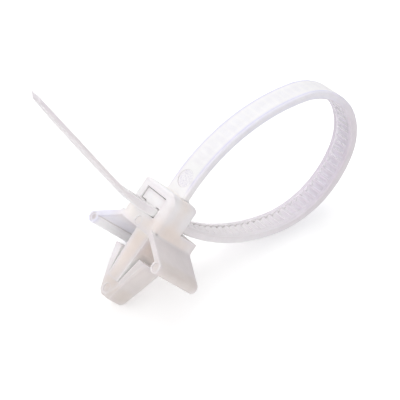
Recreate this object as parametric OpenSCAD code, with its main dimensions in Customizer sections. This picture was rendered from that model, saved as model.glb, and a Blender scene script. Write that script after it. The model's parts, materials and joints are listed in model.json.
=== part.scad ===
// Cable tie with a winged snap-in plug, moulded in one piece, closed into a loop.
// Drawn with the plug axis along z and the panel face at z = 0: x runs across the strap,
// the head's front with the tail is at -y, the loop is at +y. It is then laid down to rest.

/* [Strap] */
// Width of the strap
strap_w = 4.8; // [3.8:0.1:5.4]
// Thickness of the strap
strap_t = 1.4; // [1.2:0.05:1.5]
// Bevel along the strap's four long edges
strap_bevel = 0.2; // [0.1:0.05:0.3]
// Distance from one tooth to the next
tooth_pitch = 1.27; // [1.1:0.01:1.6]
// Depth of the notches between the teeth
tooth_depth = 0.5; // [0.3:0.05:0.6]
// Width of the toothed channel between the two plain rails
ladder_w = 3; // [2.2:0.1:3.2]
// Depth of the channel below the rails
channel_depth = 0.15; // [0.1:0.05:0.25]
// Plain length of strap between the head and the first tooth
plain_root = 6; // [4:0.5:12]
// Diameter of the round mark on the strap beside the head
root_mark_d = 3.1; // [2:0.1:3.2]
// Height of the round mark's centre above the head
root_mark_up = 2.9; // [2.5:0.1:3.2]

/* [Tail] */
// Straight run out of the head before the tail bends
tail_lead = 3; // [2:0.1:5]
// Bend of the tail
tail_bend = 11.5; // [4:0.5:25]
// Radius of the bend
tail_bend_r = 5; // [4:0.5:12]
// Length of the tail after the bend
tail_len = 28.3; // [18:0.1:60]
// Further bend, spread over the whole tail
tail_curl = 1.8; // [1:0.1:20]
// Thickness of the plain tail
tail_t = 0.65; // [0.6:0.05:0.9]
// Length after the bend over which the strap thins to the tail
ramp_len = 3.5; // [2:0.5:6]
// Length of the tapered tip
tip_len = 9; // [5:0.5:12]
// Width at the end of the tip
tip_w = 2; // [1.2:0.1:2.6]
// Length of the slope under the end of the tip
tip_slope = 1.4; // [0.6:0.1:2]

/* [Loop] */
// Radius of the rise out of the head
rise_r = 31.2; // [26:0.1:36]
// Angle of the rise
rise_angle = 45; // [40:1:50]
// Radius of the far end
end_r = 9.5; // [8:0.1:11]
// Angle of the far end
end_angle = 116; // [112:1:122]
// Radius of the underside
under_r = 15.85; // [14:0.05:18]
// Angle of the underside
under_angle = 64.5; // [61:0.5:70]

/* [Head] */
// Width of the head
head_w = 9; // [8:0.1:11]
// Height of the head above the plug's base
head_h = 7.5; // [7.2:0.1:9]
// Depth of the head, front to back
head_d = 5.6; // [5.2:0.1:7]
// Radius of the head's two top corners
head_corner = 1.6; // [0.8:0.1:2]
// Radius of the head's upright front edges
front_round = 1; // [0.5:0.1:1.4]
// Radius of the head's upright back edges
back_round = 0.5; // [0.3:0.1:0.8]
// Radius of the head's front and back top edges
top_round = 0.5; // [0.3:0.1:0.7]
// Height of the slot's floor above the plug's base
slot_floor = 2.6; // [2.6:0.1:3.2]
// Height of the slot
slot_h = 3.6; // [3.2:0.1:3.8]
// Side clearance of the strap in the slot
slot_side_gap = 0.25; // [0.15:0.05:0.4]
// Clearance between the strap and the slot's floor
slot_floor_gap = 0.1; // [0.05:0.05:0.2]
// Distance of the strap's root from the back of the head
root_inset = 0.9; // [0.7:0.1:1.4]
// Fillet between the strap and the top of the head
root_fillet = 0.5; // [0.3:0.1:0.8]

/* [Pawl] */
// Setback of the first notch from the head's front
pawl_setback = 0.2; // [0.1:0.05:0.8]
// Free length of the pawl
pawl_len = 2.2; // [1.6:0.1:2.6]
// Distance of the pawl's root from the back of the head
pawl_inset = 1; // [0.6:0.1:1.4]
// Number of teeth under the pawl
pawl_teeth = 2; // [1:1:2]
// Clearance between pawl and strap
pawl_gap = 0.12; // [0.08:0.02:0.2]
// Clearance between pawl and slot walls
pawl_side_gap = 0.12; // [0.1:0.02:0.3]
// Free height above the pawl's tip
pawl_room = 0.12; // [0.1:0.02:0.4]

/* [Base and wings] */
// Depth of the plug's base, front to back
base_d = 9.36; // [8.6:0.01:11]
// Height of the plug's base
base_h = 2.54; // [2.2:0.01:2.58]
// Height of the base's underside above the panel
stand_off = 4.1; // [3.6:0.1:4.8]
// Distance between the centres of the two wing beads
wing_span = 18.3; // [16.5:0.1:21]
// Thickness of the wing leaves
wing_t = 0.85; // [0.6:0.05:1.1]
// Height of the wing roots above the base's underside
wing_rise = 0.64; // [0.4:0.02:0.9]
// Diameter of the bead along each wing's end
bead_d = 2; // [1.6:0.1:2.4]
// Fillet between the wing and the base
wing_fillet = 0.6; // [0.3:0.1:1]

/* [Plug] */
// Width of the stem at the base
stem_w = 3.8; // [3.2:0.1:4]
// Width of the stem at its end
stem_end_w = 2.66; // [2.2:0.02:2.8]
// Depth of the stem, front to back
stem_d = 4.7; // [4.4:0.1:5.2]
// Length of the stem below the base
stem_len = 9; // [8:0.1:9.4]
// Length of the whole plug below the base
plug_len = 12.2; // [11:0.1:14]
// Depth of the arrowhead, front to back
arrow_d = 4.3; // [3.6:0.1:4.3]
// Width across the free ends of the two barbs
barb_span = 8.8; // [7.8:0.1:9.6]
// Distance of the barbs' free ends below the base
barb_drop = 4.1; // [3.4:0.1:4.6]
// Thickness of the barbs at their free ends
barb_t = 1.8; // [1.4:0.1:1.9]
// Width of the slit between barb and stem, at its closed end
slit_w = 0.16; // [0.1:0.02:0.2]
// Width of the arrowhead's blunt end
nose_w = 2.6; // [2:0.1:3]
// Amount by which the barbs' corners are rounded off
barb_round = 0.25; // [0.1:0.05:0.4]
// Bevel around the blunt end
nose_bevel = 0.5; // [0.2:0.1:0.7]

/* [Moulding marks] */
// Diameter of the four round pin marks on the front
pin_mark_d = 1.5; // [1:0.1:1.6]
// Depth of all marks
mark_depth = 0.15; // [0.12:0.01:0.2]
// Height of the head's pin mark above the base's underside
head_mark_up = 0.95; // [0.8:0.05:1.6]
// Height of the plug's pin mark above its blunt end
nose_mark_up = 1.4; // [1.2:0.1:2]

/* [Rest] */
// Turn about x that lays the part down on a wing, the plug and the loop
rest_x = -49.31; // [-90:0.01:0]
// Turn about y that lays the part down
rest_y = -19.32; // [-45:0.01:0]
// Sideways place of the plug once the part lies
rest_at_x = 1.22; // [-20:0.01:20]
// Lengthways place of the plug once the part lies
rest_at_y = -14.29; // [-40:0.01:40]

/* [Hidden] */
$fn = 96;

// How far a piece runs into its neighbour.
over = 0.4;
// Every other stretch of strap is drawn in by a hair and runs into the next ones by the lap.
hair = 0.004;
lap = 0.05;

half_t = strap_t / 2;
front_y = -base_d / 2;
back_y = front_y + head_d;
top_z = stand_off + head_h;
slot_w = strap_w + 2 * slot_side_gap;
slot_z = stand_off + slot_floor;
ceiling_z = slot_z + slot_h;
strap_z = slot_z + slot_floor_gap + half_t;
rail_z = strap_z + half_t;
floor_z = rail_z - channel_depth;
root_y = back_y - root_inset - half_t;

// The loop: a straight run up, four tangent arcs and a straight run through the slot.
// The last radius and the first run follow from the others, so the loop always closes.
turn_1 = rise_angle;
turn_2 = turn_1 + end_angle;
turn_3 = turn_2 + under_angle;
turn_4 = 270;
function sweep(r, a, b) = r * [cos(a) - cos(b), sin(b) - sin(a)];
three_arcs = sweep(rise_r, 0, turn_1) + sweep(end_r, turn_1, turn_2) + sweep(under_r, turn_2, turn_3);
return_r = (back_y - root_y - three_arcs[0]) / (cos(turn_3) - cos(turn_4));
all_arcs = three_arcs + sweep(return_r, turn_3, turn_4);
root_run = strap_z - top_z - all_arcs[1];
point_0 = [root_y, top_z + root_run];
point_1 = point_0 + sweep(rise_r, 0, turn_1);
point_2 = point_1 + sweep(end_r, turn_1, turn_2);
point_3 = point_2 + sweep(under_r, turn_2, turn_3);
arcs = [
    [point_0, rise_r, 0, turn_1],
    [point_1, end_r, turn_1, turn_2],
    [point_2, under_r, turn_2, turn_3],
    [point_3, return_r, turn_3, turn_4]
];
function arc_len(arc) = arc[1] * (arc[3] - arc[2]) * PI / 180;
tail_turn = turn_4 + tail_bend;
bend_start = [front_y - tail_lead, strap_z];
bend_arc = [bend_start, tail_bend_r, turn_4, tail_turn];
tail_start = bend_start + sweep(tail_bend_r, turn_4, tail_turn);
tail_arc = [tail_start, tail_len / tail_curl * 180 / PI, tail_turn, tail_turn + tail_curl];
to_tail = tail_lead + arc_len(bend_arc);
tail_total = to_tail + tail_len;
// The tail's first stretch is as thick as the strap until the ramp is cut, the rest is thin.
thin_turn = tail_turn + tail_curl * ramp_len / tail_len;
thin_turn_lapped = thin_turn - lap / tail_arc[1] * 180 / PI;
ramp_arc = [tail_start, tail_arc[1], tail_turn, thin_turn];
thin_start = tail_start + sweep(tail_arc[1], tail_turn, thin_turn_lapped);
thin_arc = [thin_start, tail_arc[1], thin_turn_lapped, tail_turn + tail_curl];

// Place and heading on the strap's centre line, at a distance back from the head's front.
// Negative distances are on the tail.
function on_arc(arc, back) =
    let (a = arc[3] - back / arc[1] * 180 / PI, p = arc[0] + sweep(arc[1], arc[2], a)) [p[0], p[1], a];
function on_loop(i, s) =
    i < 0 ? [root_y, point_0[1] - s, 0]
    : s < arc_len(arcs[i]) ? on_arc(arcs[i], s)
    : on_loop(i - 1, s - arc_len(arcs[i]));
function on_tail(s) =
    s > to_tail ? on_arc(tail_arc, tail_total - s)
    : s > tail_lead ? on_arc(bend_arc, to_tail - s)
    : [front_y - s, strap_z, turn_4];
function on_strap(s) =
    s < 0 ? on_tail(-s) : s < head_d ? [front_y + s, strap_z, turn_4] : on_loop(3, s - head_d);
// A point beside the centre line, counted outwards from the loop.
function beside_strap(s, out) =
    let (p = on_strap(s)) [p[0] - out * cos(p[2]), p[1] + out * sin(p[2])];
loop_len = head_d + arc_len(arcs[0]) + arc_len(arcs[1]) + arc_len(arcs[2]) + arc_len(arcs[3]) + root_run;
last_tooth = floor((loop_len - plain_root) / tooth_pitch);

wing_root = [head_w / 2, stand_off + wing_rise];
bead_at = [wing_span / 2, bead_d / 2];
bead_way = bead_at - wing_root;
// The leaf's top runs into the bead a hair below the bead's crown.
leaf_up = bead_d / 2 - hair;
wing_angle = atan2(bead_way[1], bead_way[0]) + asin(leaf_up / norm(bead_way));
wing_len = sqrt(pow(norm(bead_way), 2) - pow(leaf_up, 2));
fillet_half = (90 - wing_angle) / 2;

// Height that puts the left bead's back end on the ground once the part is laid down.
rest_up = [-sin(rest_y), cos(rest_y) * sin(rest_x), cos(rest_y) * cos(rest_x)];
bead_end = [-bead_at[0], base_d / 2, bead_at[1]];
rest_lift = bead_d / 2 * sqrt(1 - pow(rest_up[1], 2)) - rest_up * bead_end;

nose_z = stand_off - plug_len;
barb_z = stand_off - barb_drop;
slit_z = stand_off - stem_len;

// Turns a plan in (y, z) upright, with its thickness across x.
module side_on() {
    rotate([90, 0, 90])
        children();
}

// Extrudes an outline in (x, z) over a depth that is centred on the plug axis.
module front_on(depth) {
    translate([0, depth / 2, 0])
        rotate([90, 0, 0])
            linear_extrude(depth)
                children();
}

// Moves to a place on the strap: x points out of the loop, -y along the strap.
module at_strap(place) {
    side_on()
        translate([place[0], place[1], 0])
            rotate([0, 0, 180 - place[2]])
                children();
}

// Cross-section of the strap, outer face at +x, toothed channel at -x, drawn in by the inset.
module strap_section(inset) {
    t = half_t - inset;
    w = strap_w / 2 - inset;
    b = strap_bevel;
    c = ladder_w / 2 + inset;
    bed = -half_t + channel_depth + inset;
    polygon([
        [-t, -w + b], [-t + b, -w], [t - b, -w], [t, -w + b], [t, w - b], [t - b, w],
        [-t + b, w], [-t, w - b], [-t, c], [bed, c], [bed, -c], [-t, -c]
    ]);
}

// Cross-section of the plain tail, whose outer face is the strap's.
module tail_section() {
    inner = half_t - tail_t;
    w = strap_w / 2;
    b = strap_bevel;
    polygon([[inner, -w], [half_t - b, -w], [half_t, -w + b], [half_t, w - b], [half_t - b, w], [inner, w]]);
}

module strap_run(place, len, inset = 0) {
    at_strap(place)
        rotate([90, 0, 0])
            linear_extrude(len)
                strap_section(inset);
}

// Sweeps a section along an arc, and by an angle further at both ends.
module along_arc(arc, lap_angle = 0) {
    a = arc[2];
    centre = arc[0] + arc[1] * [cos(a), -sin(a)];
    side_on()
        translate([centre[0], centre[1], 0])
            rotate([0, 0, 180 - arc[3] - lap_angle])
                rotate_extrude(angle = arc[3] - a + 2 * lap_angle, $fn = 180)
                    translate([arc[1], 0])
                        children();
}

// A stretch of strap along an arc, with a lap at both ends where it is drawn in.
module strap_arc(arc, inset = 0) {
    along_arc(arc, inset > 0 ? lap / arc[1] * 180 / PI : 0)
        strap_section(inset);
}

// One notch, cut a lap into the rails: steep on the tail's side, a ramp on the head's side.
module notch() {
    deep = -half_t + channel_depth + tooth_depth;
    linear_extrude(ladder_w + 2 * lap, center = true)
        polygon([
            [-strap_t, 0], [deep, 0], [deep, tooth_pitch * 0.25],
            [-half_t + channel_depth, tooth_pitch * 0.7], [-strap_t, tooth_pitch * 0.7]
        ]);
}

// Slopes the toothed side down to the plain tail, from the bend's start.
module ramp_cut() {
    start = beside_strap(-tail_lead, -half_t);
    end = beside_strap(-to_tail - ramp_len, half_t - tail_t);
    way = (end - start) / norm(end - start);
    away = strap_t * [-way[1], way[0]];
    side_on()
        linear_extrude(2 * strap_w, center = true)
            polygon([start - over * way, end + over * way, end + over * way - away, start - over * way - away]);
}

// Tapers the end of the tail from both sides and from below.
module tip_cut() {
    at_strap(on_strap(-tail_total)) {
        linear_extrude(2 * strap_w, center = true)
            polygon([
                [half_t - tail_t, 0], [half_t, tip_slope], [half_t + over, tip_slope],
                [half_t + over, -over], [half_t - tail_t, -over]
            ]);
        for (side = [-1, 1])
            rotate([0, 90, 0])
                translate([0, 0, -strap_t])
                    linear_extrude(2 * strap_t)
                        polygon([
                            [side * tip_w / 2, -over], [side * strap_w, -over], [side * strap_w, tip_len],
                            [side * strap_w / 2, tip_len], [side * tip_w / 2, 0]
                        ]);
    }
}

module strap() {
    difference() {
        union() {
            strap_run([root_y, top_z - over, 0], root_run + over);
            for (i = [0:3])
                strap_arc(arcs[i], i % 2 == 0 ? hair : 0);
            difference() {
                union() {
                    strap_run([back_y + lap, strap_z, turn_4], head_d + tail_lead + 2 * lap, hair);
                    strap_arc(bend_arc);
                    strap_arc(ramp_arc, hair);
                }
                ramp_cut();
            }
            along_arc(thin_arc)
                tail_section();
        }
        for (k = [0:last_tooth])
            at_strap(on_strap(pawl_setback + k * tooth_pitch))
                notch();
        tip_cut();
        translate([0, root_y - half_t - mark_depth, top_z + root_mark_up])
            rotate([90, 0, 0])
                translate([0, 0, -2 * mark_depth])
                    cylinder(d = root_mark_d, h = strap_t);
    }
}

// Fillets in front of and behind the strap where it grows out of the head.
module root_fillets() {
    block = root_fillet + over;
    side_on()
        linear_extrude(strap_w - 2 * strap_bevel, center = true)
            for (side = [0, 1])
                translate([root_y, top_z])
                    mirror([side, 0])
                        difference() {
                            translate([half_t - over, -over])
                                square([block, block]);
                            translate([half_t + root_fillet, root_fillet])
                                circle(r = root_fillet);
                        }
}

module rounded_rect(x0, y0, x1, y1, r) {
    for (x = [x0 + r, x1 - r])
        for (y = [y0 + r, y1 - r])
            translate([x, y])
                circle(r = r);
    translate([x0 + r, y0])
        square([x1 - x0 - 2 * r, y1 - y0]);
    translate([x0, y0 + r])
        square([x1 - x0, y1 - y0 - 2 * r]);
}

// Plan with round front corners and a back that may be round too.
module plan(depth, back_r) {
    w = head_w / 2;
    for (side = [-1, 1])
        translate([side * (w - front_round), front_y + front_round])
            circle(r = front_round);
    translate([-w + front_round, front_y])
        square([head_w - 2 * front_round, depth / 2]);
    translate([-w, front_y + front_round])
        square([head_w, depth - front_round - back_r]);
    translate([-w + back_r, front_y + depth / 2])
        square([head_w - 2 * back_r, depth / 2]);
    if (back_r > 0)
        for (side = [-1, 1])
            translate([side * (w - back_r), front_y + depth - back_r])
                circle(r = back_r);
}

module head() {
    w = head_w / 2;
    intersection() {
        translate([0, 0, stand_off])
            linear_extrude(head_h)
                plan(head_d, back_round);
        front_on(3 * base_d)
            rounded_rect(-w, stand_off - head_corner, w, top_z, head_corner);
        side_on()
            linear_extrude(2 * head_w, center = true)
                rounded_rect(front_y, stand_off - top_round, back_y, top_z, top_round);
    }
}

module base() {
    translate([0, 0, stand_off])
        linear_extrude(base_h)
            plan(base_d, 0);
}

// Outline of the right wing: leaf, bead along its end and fillet at its root.
module wing_outline() {
    reach = wing_fillet / tan(fillet_half);
    translate(wing_root)
        rotate(wing_angle)
            translate([-front_round, -wing_t])
                square([wing_len + front_round, wing_t]);
    translate(bead_at)
        circle(d = bead_d);
    translate(wing_root)
        difference() {
            polygon([
                [0, 0], reach * [cos(wing_angle), sin(wing_angle)],
                wing_fillet / sin(fillet_half) * [cos(wing_angle + fillet_half), sin(wing_angle + fillet_half)],
                [0, reach]
            ]);
            rotate(wing_angle + fillet_half)
                translate([wing_fillet / sin(fillet_half), 0])
                    circle(r = wing_fillet);
        }
}

module wings() {
    for (side = [0, 1])
        mirror([side, 0, 0])
            front_on(base_d)
                wing_outline();
}

// Arrowhead with two barbs that are free at their upper ends.
module arrowhead() {
    s = stem_end_w / 2 + slit_w;
    b = barb_span / 2;
    n = nose_w / 2;
    barb_r = norm([b, arrow_d / 2]) - barb_round;
    nose_r = norm([n, arrow_d / 2]) - barb_round;
    intersection() {
        front_on(arrow_d)
            polygon([
                [-n, nose_z], [n, nose_z], [b, barb_z], [b - barb_t, barb_z], [s, slit_z],
                [-s, slit_z], [-b + barb_t, barb_z], [-b, barb_z]
            ]);
        rotate_extrude()
            polygon([
                [0, nose_z], [nose_r - nose_bevel, nose_z], [nose_r, nose_z + nose_bevel],
                [barb_r, barb_z], [barb_r, stand_off], [0, stand_off]
            ]);
    }
}

module stem() {
    top = stem_w / 2;
    low = stem_end_w / 2;
    front_on(stem_d)
        polygon([[-low, slit_z], [low, slit_z], [top, stand_off + over], [-top, stand_off + over]]);
}

// Tongue hinged at the slot's ceiling near the back, with its teeth in the strap's notches.
module pawl() {
    tip_y = front_y + pawl_setback + pawl_gap;
    neck_y = tip_y + pawl_len;
    hinge_y = back_y - pawl_inset;
    lip_z = ceiling_z - pawl_room;
    side_on()
        linear_extrude(slot_w - 2 * pawl_side_gap, center = true)
            polygon([
                [tip_y, rail_z + pawl_gap], [tip_y, lip_z], [tip_y + pawl_len / 2, lip_z],
                [neck_y, ceiling_z - pawl_room / 2], [neck_y, ceiling_z + over],
                [hinge_y, ceiling_z + over], [hinge_y, ceiling_z],
                [tip_y + 2 * tooth_pitch, rail_z + pawl_gap]
            ]);
    side_on()
        linear_extrude(ladder_w - 2 * pawl_side_gap, center = true)
            for (k = [0:pawl_teeth - 1])
                translate([tip_y + k * tooth_pitch, 0])
                    polygon([
                        [0, rail_z + pawl_gap + over], [0, floor_z - tooth_depth + 2 * pawl_gap],
                        [tooth_pitch * 0.2, floor_z - tooth_depth + 2 * pawl_gap],
                        [tooth_pitch * 0.6, floor_z + pawl_gap], [tooth_pitch * 0.6, rail_z + pawl_gap + over]
                    ]);
}

// Round mark pressed into a face that looks to -y.
module pin_mark(x, z, face_y) {
    translate([x, face_y + mark_depth, z])
        rotate([90, 0, 0])
            cylinder(d = pin_mark_d, h = 1, $fn = 48);
}

module moulding() {
    difference() {
        union() {
            head();
            base();
            wings();
            arrowhead();
            stem();
            root_fillets();
        }
        translate([-slot_w / 2, front_y - over, slot_z])
            cube([slot_w, head_d + 2 * over, slot_h]);
        pin_mark(0, stand_off + head_mark_up, front_y);
        pin_mark(bead_at[0], bead_at[1], front_y);
        pin_mark(-bead_at[0], bead_at[1], front_y);
        pin_mark(0, nose_z + nose_mark_up, -arrow_d / 2);
    }
    pawl();
    strap();
}

// The moulding, laid down with the left wing's back end on the ground.
module cable_tie() {
    color("whitesmoke")
        translate([rest_at_x, rest_at_y, rest_lift])
            rotate([rest_x, rest_y, 0])
                moulding();
}

cable_tie();
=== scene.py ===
"""Looks of a moulded nylon cable tie with a snap-in plug, lying on a white table."""
import json
from math import radians
from types import SimpleNamespace

import bpy
from mathutils import Euler, Matrix, Vector


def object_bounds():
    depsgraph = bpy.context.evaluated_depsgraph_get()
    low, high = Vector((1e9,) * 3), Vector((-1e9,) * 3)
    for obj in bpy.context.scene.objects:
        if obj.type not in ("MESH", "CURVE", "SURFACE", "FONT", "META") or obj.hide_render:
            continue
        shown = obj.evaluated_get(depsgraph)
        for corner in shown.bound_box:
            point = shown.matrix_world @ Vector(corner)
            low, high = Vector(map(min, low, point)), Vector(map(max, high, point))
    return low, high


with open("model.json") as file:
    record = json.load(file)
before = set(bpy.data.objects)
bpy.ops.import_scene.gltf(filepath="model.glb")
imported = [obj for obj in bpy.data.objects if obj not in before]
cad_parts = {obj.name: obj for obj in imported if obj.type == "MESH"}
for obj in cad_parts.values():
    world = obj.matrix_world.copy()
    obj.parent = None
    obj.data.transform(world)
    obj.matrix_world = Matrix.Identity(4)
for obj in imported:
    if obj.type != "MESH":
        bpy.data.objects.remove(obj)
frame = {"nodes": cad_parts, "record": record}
cad_low, cad_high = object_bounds()
MM = 0.001

# The part's upright axes: along the bundle, towards the loop's far end, and out of the plug's hole
mounts = {mount["name"]: mount for mount in frame["record"]["mounts"]}
plug = Vector(mounts["plug"]["pos_m"])
loop = Vector(mounts["loop"]["pos_m"])
along_bundle = Vector(mounts["loop"]["axis"]).normalized()
out_of_hole = -Vector(mounts["plug"]["axis"]).normalized()
to_far_end = out_of_hole.cross(along_bundle)
to_row = Matrix((along_bundle, to_far_end, out_of_hole)).transposed()

# The photograph's camera, in the upright axes from the plug's mount: its right and down, and one
# point, with how far away, at what scale and at which pixel the camera sees it
VIEW_RIGHT = Vector((0.5341, 0.6331, 0.5603))
VIEW_DOWN = Vector((0.4329, 0.3645, -0.8245))
VIEW_POINT = Vector((0, -4.68, 4.1)) * MM
VIEW_DISTANCE = 367.4 * MM
PIXELS_PER_MM = 6.3854
POINT_PIXEL = (134.78, 224.88)
PIXELS = 400
SENSOR_MM = 36
CLIP_START = 1 * MM
CLIP_END = 10

# Colours of the nylon: where it is thin, where it is thick, and a painted warm shade towards the
# right wing and the plug
# Thick nylon is warmer and darker, partly its own deeper tint and partly painted light through it
THIN = (0.975, 0.95, 0.985, 1)
THICK = (0.96, 0.855, 0.8, 1)
WARM_SHADE = (0.75, 0.68, 0.645, 1)
# Painted shade at thin edges and over notches, for light that goes through the thin nylon: on most
# of the part, and a bluish one up on the loop and on the left wing
SHEER_SHADE = (0.835, 0.785, 0.8, 1)
COOL_SHEER_SHADE = (0.8, 0.79, 0.92, 1)
# Painted light in hollows, for light that comes through the nylon: on most of the part, and up on
# the loop
HOLLOW_LIGHT = (1, 0.98, 0.97, 1)
COOL_HOLLOW_LIGHT = (0.97, 0.945, 0.99, 1)
# Painted shade in fine creases, the darker colour on the bead's mark, and the specks of the root's
# mark
CREASE_SHADE = (0.6, 0.55, 0.56, 1)
SPECK = (0.8, 0.77, 0.85, 1)
# Painted shade that multiplies the colour: down the plug, on the loop's inner side and far flank,
# and, bluish, on its outer rails
PLUG_SHADE = (0.95, 0.96, 0.965, 1)
INNER_SHADE = (0.86, 0.82, 0.815, 1)
RAIL_SHADE = (0.8, 0.8, 0.95, 1)

# Each ramp below holds two values of a measure, and then what the ramp gives at each of them

# By place, from the plug's mount: along the way of the painted warm shade, upwards, across, and
# towards the far end
WARM_SHADE_WAY = along_bundle - 0.6 * out_of_hole
WARM_SHADE_RAMP = (-6 * MM, 9 * MM, 0, 0.85)
PLUG_SHADE_RAMP = (-6 * MM, -1 * MM, 1, 0)
LOOP_RAMP = (9 * MM, 26 * MM, 0, 1)
STRAP_RAMP = (11 * MM, 15 * MM, 0, 1)
LEFT_WING_RAMP = (-7 * MM, -3.5 * MM, 1, 0)
RAIL_RAMP = (1.6 * MM, 2.4 * MM, 0, 1)
FAR_END_RAMP = (10 * MM, 22 * MM, 0, 1)

# By the way that the surface faces: to the right, to either side, and to the middle of the loop
FLANK_RAMP = (0.5, 0.9, 0, 0.6)
SIDEWAYS_RAMP = (0.4, 0.9, 1, 0)
INNER_RAMP = (2 * MM, 7 * MM, 0, 1)

# By how free the way is within a reach: through the part, and then outside its surface
ROOM_SAMPLES = 12
THICK_REACH = 2.5 * MM
THICK_RAMP = (0.35, 0.85, 0, 1)
SHEER_REACH = 1.1 * MM
SHEER_RAMP = (0.3, 1, 0.9, 0)
HOLLOW_REACH = 3 * MM
HOLLOW_RAMP = (0.2, 0.9, 1, 0)
CREASE_REACH = 0.15 * MM
CREASE_CLOSED_RAMP = (0.3, 0.45, 0, 1)
CREASE_OPEN_RAMP = (0.6, 0.9, 0.7, 0)

# The rough round mark on the strap's root, in the part's own frame
ROOT_MARK = Vector((-2.24, -4.15, 16.31)) * MM
ROOT_MARK_RADIUS = 1.55 * MM
ROOT_MARK_RAMP = (0.9 * ROOT_MARK_RADIUS, 1.05 * ROOT_MARK_RADIUS, 1, 0)

# Where the left bead's end is darker, at its moulding mark, in the upright axes from the plug's
# mount
BEAD_MARK = Vector((-9.15, -4.68, 1)) * MM
BEAD_MARK_RAMP = (0.25 * MM, 0.75 * MM, 0.8, 0)

# Noise, as scale and detail: clouds in the nylon, the skin's unevenness, and the root mark's grain
CLOUD_NOISE = (700, 3)
CLOUD_RAMP = (0.3, 0.7, 0.965, 1)
SKIN_NOISE = (5000, 2)
GRAIN_NOISE = (5500, 2)
SPECK_RAMP = (0.4, 0.65, 0, 1)

# The satin skin: its roughness, relief, bump and gloss, and how deep light goes under it
ROUGHNESS_RAMP = (0.3, 1.5, 0.36, 0.6)
SKIN_RELIEF = 0.12
BUMP_STRENGTH = 0.35
BUMP_DISTANCE = 0.06 * MM
NYLON_IOR = 1.53
SPECULAR_LEVEL = 0.12
LIGHT_DEPTH = 0.3 * MM

# The table: its size, the light that it gives back, and for the eye its shade, and its glow by the
# distance from the part's middle
TABLE_SIZE = 4
TABLE_BOUNCE = (0.9, 0.9, 0.9, 1)
TABLE_SHADE = (0.95, 0.95, 0.95, 1)
GLOW_RAMP = (0.08, 0.4, 0.28, 1)
WHITE = (1, 1, 1, 1)

# Studio light: an even sky, which is white for the eye, and soft lamps by name, compass angle,
# height angle, distance, size and watts
SKY_RAMP = (0, 1, 0.37, 1)
LAMPS = (
    ("back", 156, 50, 0.35, 0.3, 0.51),
    ("side", 238, 48, 0.7, 0.9, 1.7),
    ("front", 332, 36, 0.7, 0.6, 1.95),
)

# The colour sockets of a Mix node, by number because other sockets have the same names
MIX_SHARE = 0
MIX_FIRST = 6
MIX_SECOND = 7
MIX_RESULT = 2


def upright(point):
    """A point given in the part's upright axes, in the row frame."""
    return to_row @ point + plug


def make_camera():
    """The photograph's camera, with its framing in the lens shift."""
    data = bpy.data.cameras.new("camera")
    camera = bpy.data.objects.new("camera", data)
    bpy.context.scene.collection.objects.link(camera)
    right = (to_row @ VIEW_RIGHT).normalized()
    back = right.cross(to_row @ -VIEW_DOWN).normalized()
    up = back.cross(right)
    turn = Matrix((right, up, back)).transposed().to_4x4()
    camera.matrix_world = Matrix.Translation(upright(VIEW_POINT) + back * VIEW_DISTANCE) @ turn
    data.sensor_width = SENSOR_MM
    data.lens = PIXELS_PER_MM * VIEW_DISTANCE / MM * SENSOR_MM / PIXELS
    data.shift_x = 0.5 - POINT_PIXEL[0] / PIXELS
    data.shift_y = POINT_PIXEL[1] / PIXELS - 0.5
    data.clip_start = CLIP_START
    data.clip_end = CLIP_END
    bpy.context.scene.camera = camera


class Nodes:
    """Short ways to add nodes to one material or world."""

    def __init__(self, owner):
        owner.use_nodes = True
        self.tree = owner.node_tree

    def add(self, kind, settings=None, **inputs):
        node = self.tree.nodes.new("ShaderNode" + kind)
        for name, value in (settings or {}).items():
            setattr(node, name, value)
        for name, value in inputs.items():
            self.put(node.inputs[name], value)
        return node

    def put(self, socket, value):
        """Link a socket to an output, or set its value."""
        if isinstance(value, bpy.types.NodeSocket):
            self.tree.links.new(value, socket)
        else:
            socket.default_value = value

    def math(self, operation, first, second=0):
        node = self.add("Math", {"operation": operation})
        self.put(node.inputs[0], first)
        self.put(node.inputs[1], second)
        return node.outputs["Value"]

    def both(self, first, second):
        """Two numbers, such as shares, multiplied."""
        return self.math("MULTIPLY", first, second)

    def either(self, first, second):
        """The larger of two numbers, such as shares."""
        return self.math("MAXIMUM", first, second)

    def without(self, first, second):
        """The first share, as far as the second isn't there."""
        return self.both(first, self.math("SUBTRACT", 1, second))

    def vector(self, operation, first, second, result="Value"):
        """What two vectors give: a number, such as their distance, or a vector."""
        node = self.add("VectorMath", {"operation": operation})
        self.put(node.inputs[0], first)
        self.put(node.inputs[1], second)
        return node.outputs[result]

    def dot(self, first, second):
        return self.vector("DOT_PRODUCT", first, second)

    def ramp(self, value, ramp):
        """A smooth way from what a ramp gives at one value to what it gives at the other."""
        node = self.add("MapRange", {"interpolation_type": "SMOOTHSTEP"}, Value=value)
        for name, number in zip(("From Min", "From Max", "To Min", "To Max"), ramp):
            node.inputs[name].default_value = number
        return node.outputs["Result"]

    def mix(self, share, first, second, blend="MIX"):
        node = self.add("Mix", {"data_type": "RGBA", "blend_type": blend})
        self.put(node.inputs[MIX_SHARE], share)
        self.put(node.inputs[MIX_FIRST], first)
        self.put(node.inputs[MIX_SECOND], second)
        return node.outputs[MIX_RESULT]

    def noise(self, place, scale, detail):
        return self.add("TexNoise", Vector=place, Scale=scale, Detail=detail).outputs["Fac"]

    def room(self, reach, inside):
        """How free the way is within a reach, through the part or outside its surface."""
        settings = {"inside": inside, "only_local": True, "samples": ROOM_SAMPLES}
        return self.add("AmbientOcclusion", settings, Distance=reach).outputs["AO"]


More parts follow.
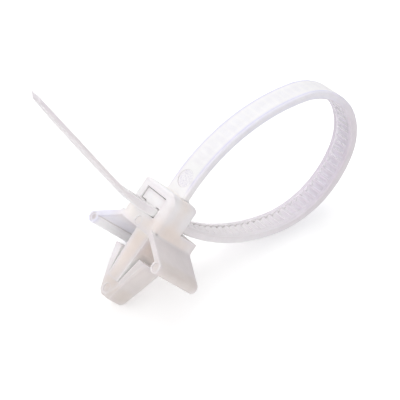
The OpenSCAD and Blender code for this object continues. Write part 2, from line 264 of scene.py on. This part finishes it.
def find_zones(nodes, place, normal):
    """How much a point of the surface is in each zone of the part, from nought to one."""
    from_plug = nodes.vector("SUBTRACT", place, plug, "Vector")
    height = nodes.dot(from_plug, out_of_hole)
    across = nodes.dot(from_plug, along_bundle)
    on_loop = nodes.ramp(height, LOOP_RAMP)

    # The loop's inner side, and the right flank of its far end, which get painted shade
    to_middle = nodes.vector("SUBTRACT", loop, place, "Vector")
    inner = nodes.ramp(nodes.dot(to_middle, normal), INNER_RAMP)
    to_right = nodes.dot(normal, along_bundle)
    far_end = nodes.ramp(nodes.dot(from_plug, to_far_end), FAR_END_RAMP)
    flank = nodes.both(nodes.ramp(to_right, FLANK_RAMP), far_end)

    # The strap's two rails, on the outside of the loop, which get a bluish painted shade
    rails = nodes.ramp(nodes.math("ABSOLUTE", across), RAIL_RAMP)
    rails = nodes.both(rails, nodes.ramp(height, STRAP_RAMP))
    outwards = nodes.ramp(nodes.math("ABSOLUTE", to_right), SIDEWAYS_RAMP)
    outwards = nodes.either(nodes.math("SUBTRACT", outwards, inner), 0)

    return SimpleNamespace(
        warm_shade=nodes.ramp(nodes.dot(from_plug, WARM_SHADE_WAY), WARM_SHADE_RAMP),
        plug=nodes.ramp(height, PLUG_SHADE_RAMP),
        loop=on_loop,
        cool_shade=nodes.either(nodes.without(on_loop, flank), nodes.ramp(across, LEFT_WING_RAMP)),
        inner_shade=nodes.both(nodes.either(inner, flank), on_loop),
        rail_shade=nodes.both(rails, outwards),
    )


def paint_shade_by_zone(nodes, zones):
    """Warmer where thick, as own tint and painted light; painted shade at thin edges, notches and
    zones.
    """
    # Warmer and darker where thick: partly the nylon's own tint, partly painted light through it
    colour = nodes.mix(nodes.ramp(nodes.room(THICK_REACH, True), THICK_RAMP), THIN, THICK)
    # Painted warm shade towards the right wing and the plug
    colour = nodes.mix(zones.warm_shade, colour, WARM_SHADE)
    # Painted shade down the plug
    colour = nodes.mix(zones.plug, colour, PLUG_SHADE, "MULTIPLY")
    # Painted shade where the nylon is thin, bluish on the loop and the left wing
    sheer_shade = nodes.ramp(nodes.room(SHEER_REACH, True), SHEER_RAMP)
    colour = nodes.mix(sheer_shade, colour, nodes.mix(zones.cool_shade, SHEER_SHADE, COOL_SHEER_SHADE))
    # Painted shade on the loop's inner side and far flank
    colour = nodes.mix(zones.inner_shade, colour, INNER_SHADE, "MULTIPLY")
    # Bluish painted shade on the strap's outer rails
    return nodes.mix(zones.rail_shade, colour, RAIL_SHADE, "MULTIPLY")


def paint_hollows_and_creases(nodes, colour, place, zones):
    """Painted light brightens hollows, painted shade darkens fine creases, and the bead's mark is
    darker.
    """
    # Painted light in hollows
    hollow_light = nodes.ramp(nodes.room(HOLLOW_REACH, False), HOLLOW_RAMP)
    colour = nodes.mix(hollow_light, colour, nodes.mix(zones.loop, HOLLOW_LIGHT, COOL_HOLLOW_LIGHT))
    # Painted shade in fine creases, where little light reaches
    near = nodes.room(CREASE_REACH, False)
    crease_shade = nodes.ramp(near, CREASE_CLOSED_RAMP)
    crease_shade = nodes.math("MINIMUM", crease_shade, nodes.ramp(near, CREASE_OPEN_RAMP))
    crease_shade = nodes.without(crease_shade, zones.loop)
    from_bead = nodes.vector("DISTANCE", place, upright(BEAD_MARK))
    bead_mark = nodes.ramp(from_bead, BEAD_MARK_RAMP)
    return nodes.mix(nodes.either(crease_shade, bead_mark), colour, CREASE_SHADE)


def make_nylon():
    """One material for the whole moulding."""
    material = bpy.data.materials.new("natural_nylon")
    nodes = Nodes(material)
    shader = nodes.tree.nodes["Principled BSDF"]
    coordinates = nodes.add("TexCoord")
    place = coordinates.outputs["Object"]
    zones = find_zones(nodes, place, coordinates.outputs["Normal"])
    mark = nodes.ramp(nodes.vector("DISTANCE", place, ROOT_MARK), ROOT_MARK_RAMP)
    grain = nodes.noise(place, *GRAIN_NOISE)

    # Painted shade and light by zone, cloudy mottling, the specks of the root's mark, and painted
    # light in hollows with painted shade in creases
    colour = paint_shade_by_zone(nodes, zones)
    cloud = nodes.ramp(nodes.noise(place, *CLOUD_NOISE), CLOUD_RAMP)
    colour = nodes.mix(1, colour, cloud, "MULTIPLY")
    speck = nodes.both(mark, nodes.ramp(grain, SPECK_RAMP))
    colour = nodes.mix(speck, colour, SPECK)
    colour = paint_hollows_and_creases(nodes, colour, place, zones)
    nodes.put(shader.inputs["Base Color"], colour)

    # Satin skin, finely uneven, and coarse on the root's mark
    skin = nodes.noise(place, *SKIN_NOISE)
    roughness = nodes.ramp(nodes.math("ADD", skin, mark), ROUGHNESS_RAMP)
    nodes.put(shader.inputs["Roughness"], roughness)
    relief = nodes.math("ADD", nodes.both(skin, SKIN_RELIEF), nodes.both(grain, mark))
    bump = nodes.add("Bump", Height=relief, Strength=BUMP_STRENGTH, Distance=BUMP_DISTANCE)
    nodes.put(shader.inputs["Normal"], bump.outputs["Normal"])

    shader.inputs["IOR"].default_value = NYLON_IOR
    shader.inputs["Specular IOR Level"].default_value = SPECULAR_LEVEL
    shader.inputs["Subsurface Weight"].default_value = 1
    shader.inputs["Subsurface Radius"].default_value = (1, 1, 1)
    shader.inputs["Subsurface Scale"].default_value = LIGHT_DEPTH
    return material


def seen_directly(nodes):
    """One for rays from the eye, by mirror or through glass too, and nought for the rest."""
    path = nodes.add("LightPath")
    seen = nodes.either(path.outputs["Is Camera Ray"], path.outputs["Is Glossy Ray"])
    return nodes.either(seen, path.outputs["Is Transmission Ray"])


def make_table_white():
    """White for the eye, with a faint shadow; a plain pale surface for the light it gives back."""
    material = bpy.data.materials.new("white_table")
    nodes = Nodes(material)
    nodes.tree.nodes.clear()
    bounce = nodes.add("BsdfDiffuse", Color=TABLE_BOUNCE)
    shade = nodes.add("BsdfDiffuse", Color=TABLE_SHADE)
    reach = nodes.vector("DISTANCE", nodes.add("TexCoord").outputs["Object"], (0, 0, 0))
    glow = nodes.add("Emission", Color=WHITE, Strength=nodes.ramp(reach, GLOW_RAMP))
    seen = nodes.add("AddShader")
    nodes.put(seen.inputs[0], shade.outputs["BSDF"])
    nodes.put(seen.inputs[1], glow.outputs["Emission"])
    mix = nodes.add("MixShader", Fac=seen_directly(nodes))
    nodes.put(mix.inputs[1], bounce.outputs["BSDF"])
    nodes.put(mix.inputs[2], seen.outputs["Shader"])
    nodes.add("OutputMaterial", Surface=mix.outputs["Shader"])
    return material


def make_floor():
    """The top of the table, under the part."""
    bpy.ops.mesh.primitive_plane_add(size=TABLE_SIZE, location=(0, 0, cad_low.z))
    floor = bpy.context.object
    floor.name = "floor"
    floor.data.materials.append(make_table_white())


def make_lamp(name, compass, height, distance, size, watts):
    """A soft lamp that faces the middle of the table."""
    data = bpy.data.lights.new(name, "AREA")
    data.size = size
    data.energy = watts
    lamp = bpy.data.objects.new(name, data)
    way = Euler((0, -radians(height), radians(compass))).to_matrix() @ Vector((1, 0, 0))
    lamp.location = way * distance
    lamp.rotation_mode = "QUATERNION"
    lamp.rotation_quaternion = (-way).to_track_quat("-Z", "Y")
    bpy.context.scene.collection.objects.link(lamp)


def make_world():
    """An even sky, white where the eye sees it."""
    world = bpy.data.worlds.new("studio")
    bpy.context.scene.world = world
    nodes = Nodes(world)
    background = nodes.tree.nodes["Background"]
    background.inputs["Color"].default_value = WHITE
    nodes.put(background.inputs["Strength"], nodes.ramp(seen_directly(nodes), SKY_RAMP))


tie = frame["nodes"]["cable_tie"]
tie.data.materials.clear()
tie.data.materials.append(make_nylon())
make_camera()
make_floor()
make_world()
for lamp in LAMPS:
    make_lamp(*lamp)
bpy.context.scene.view_settings.view_transform = "Standard"
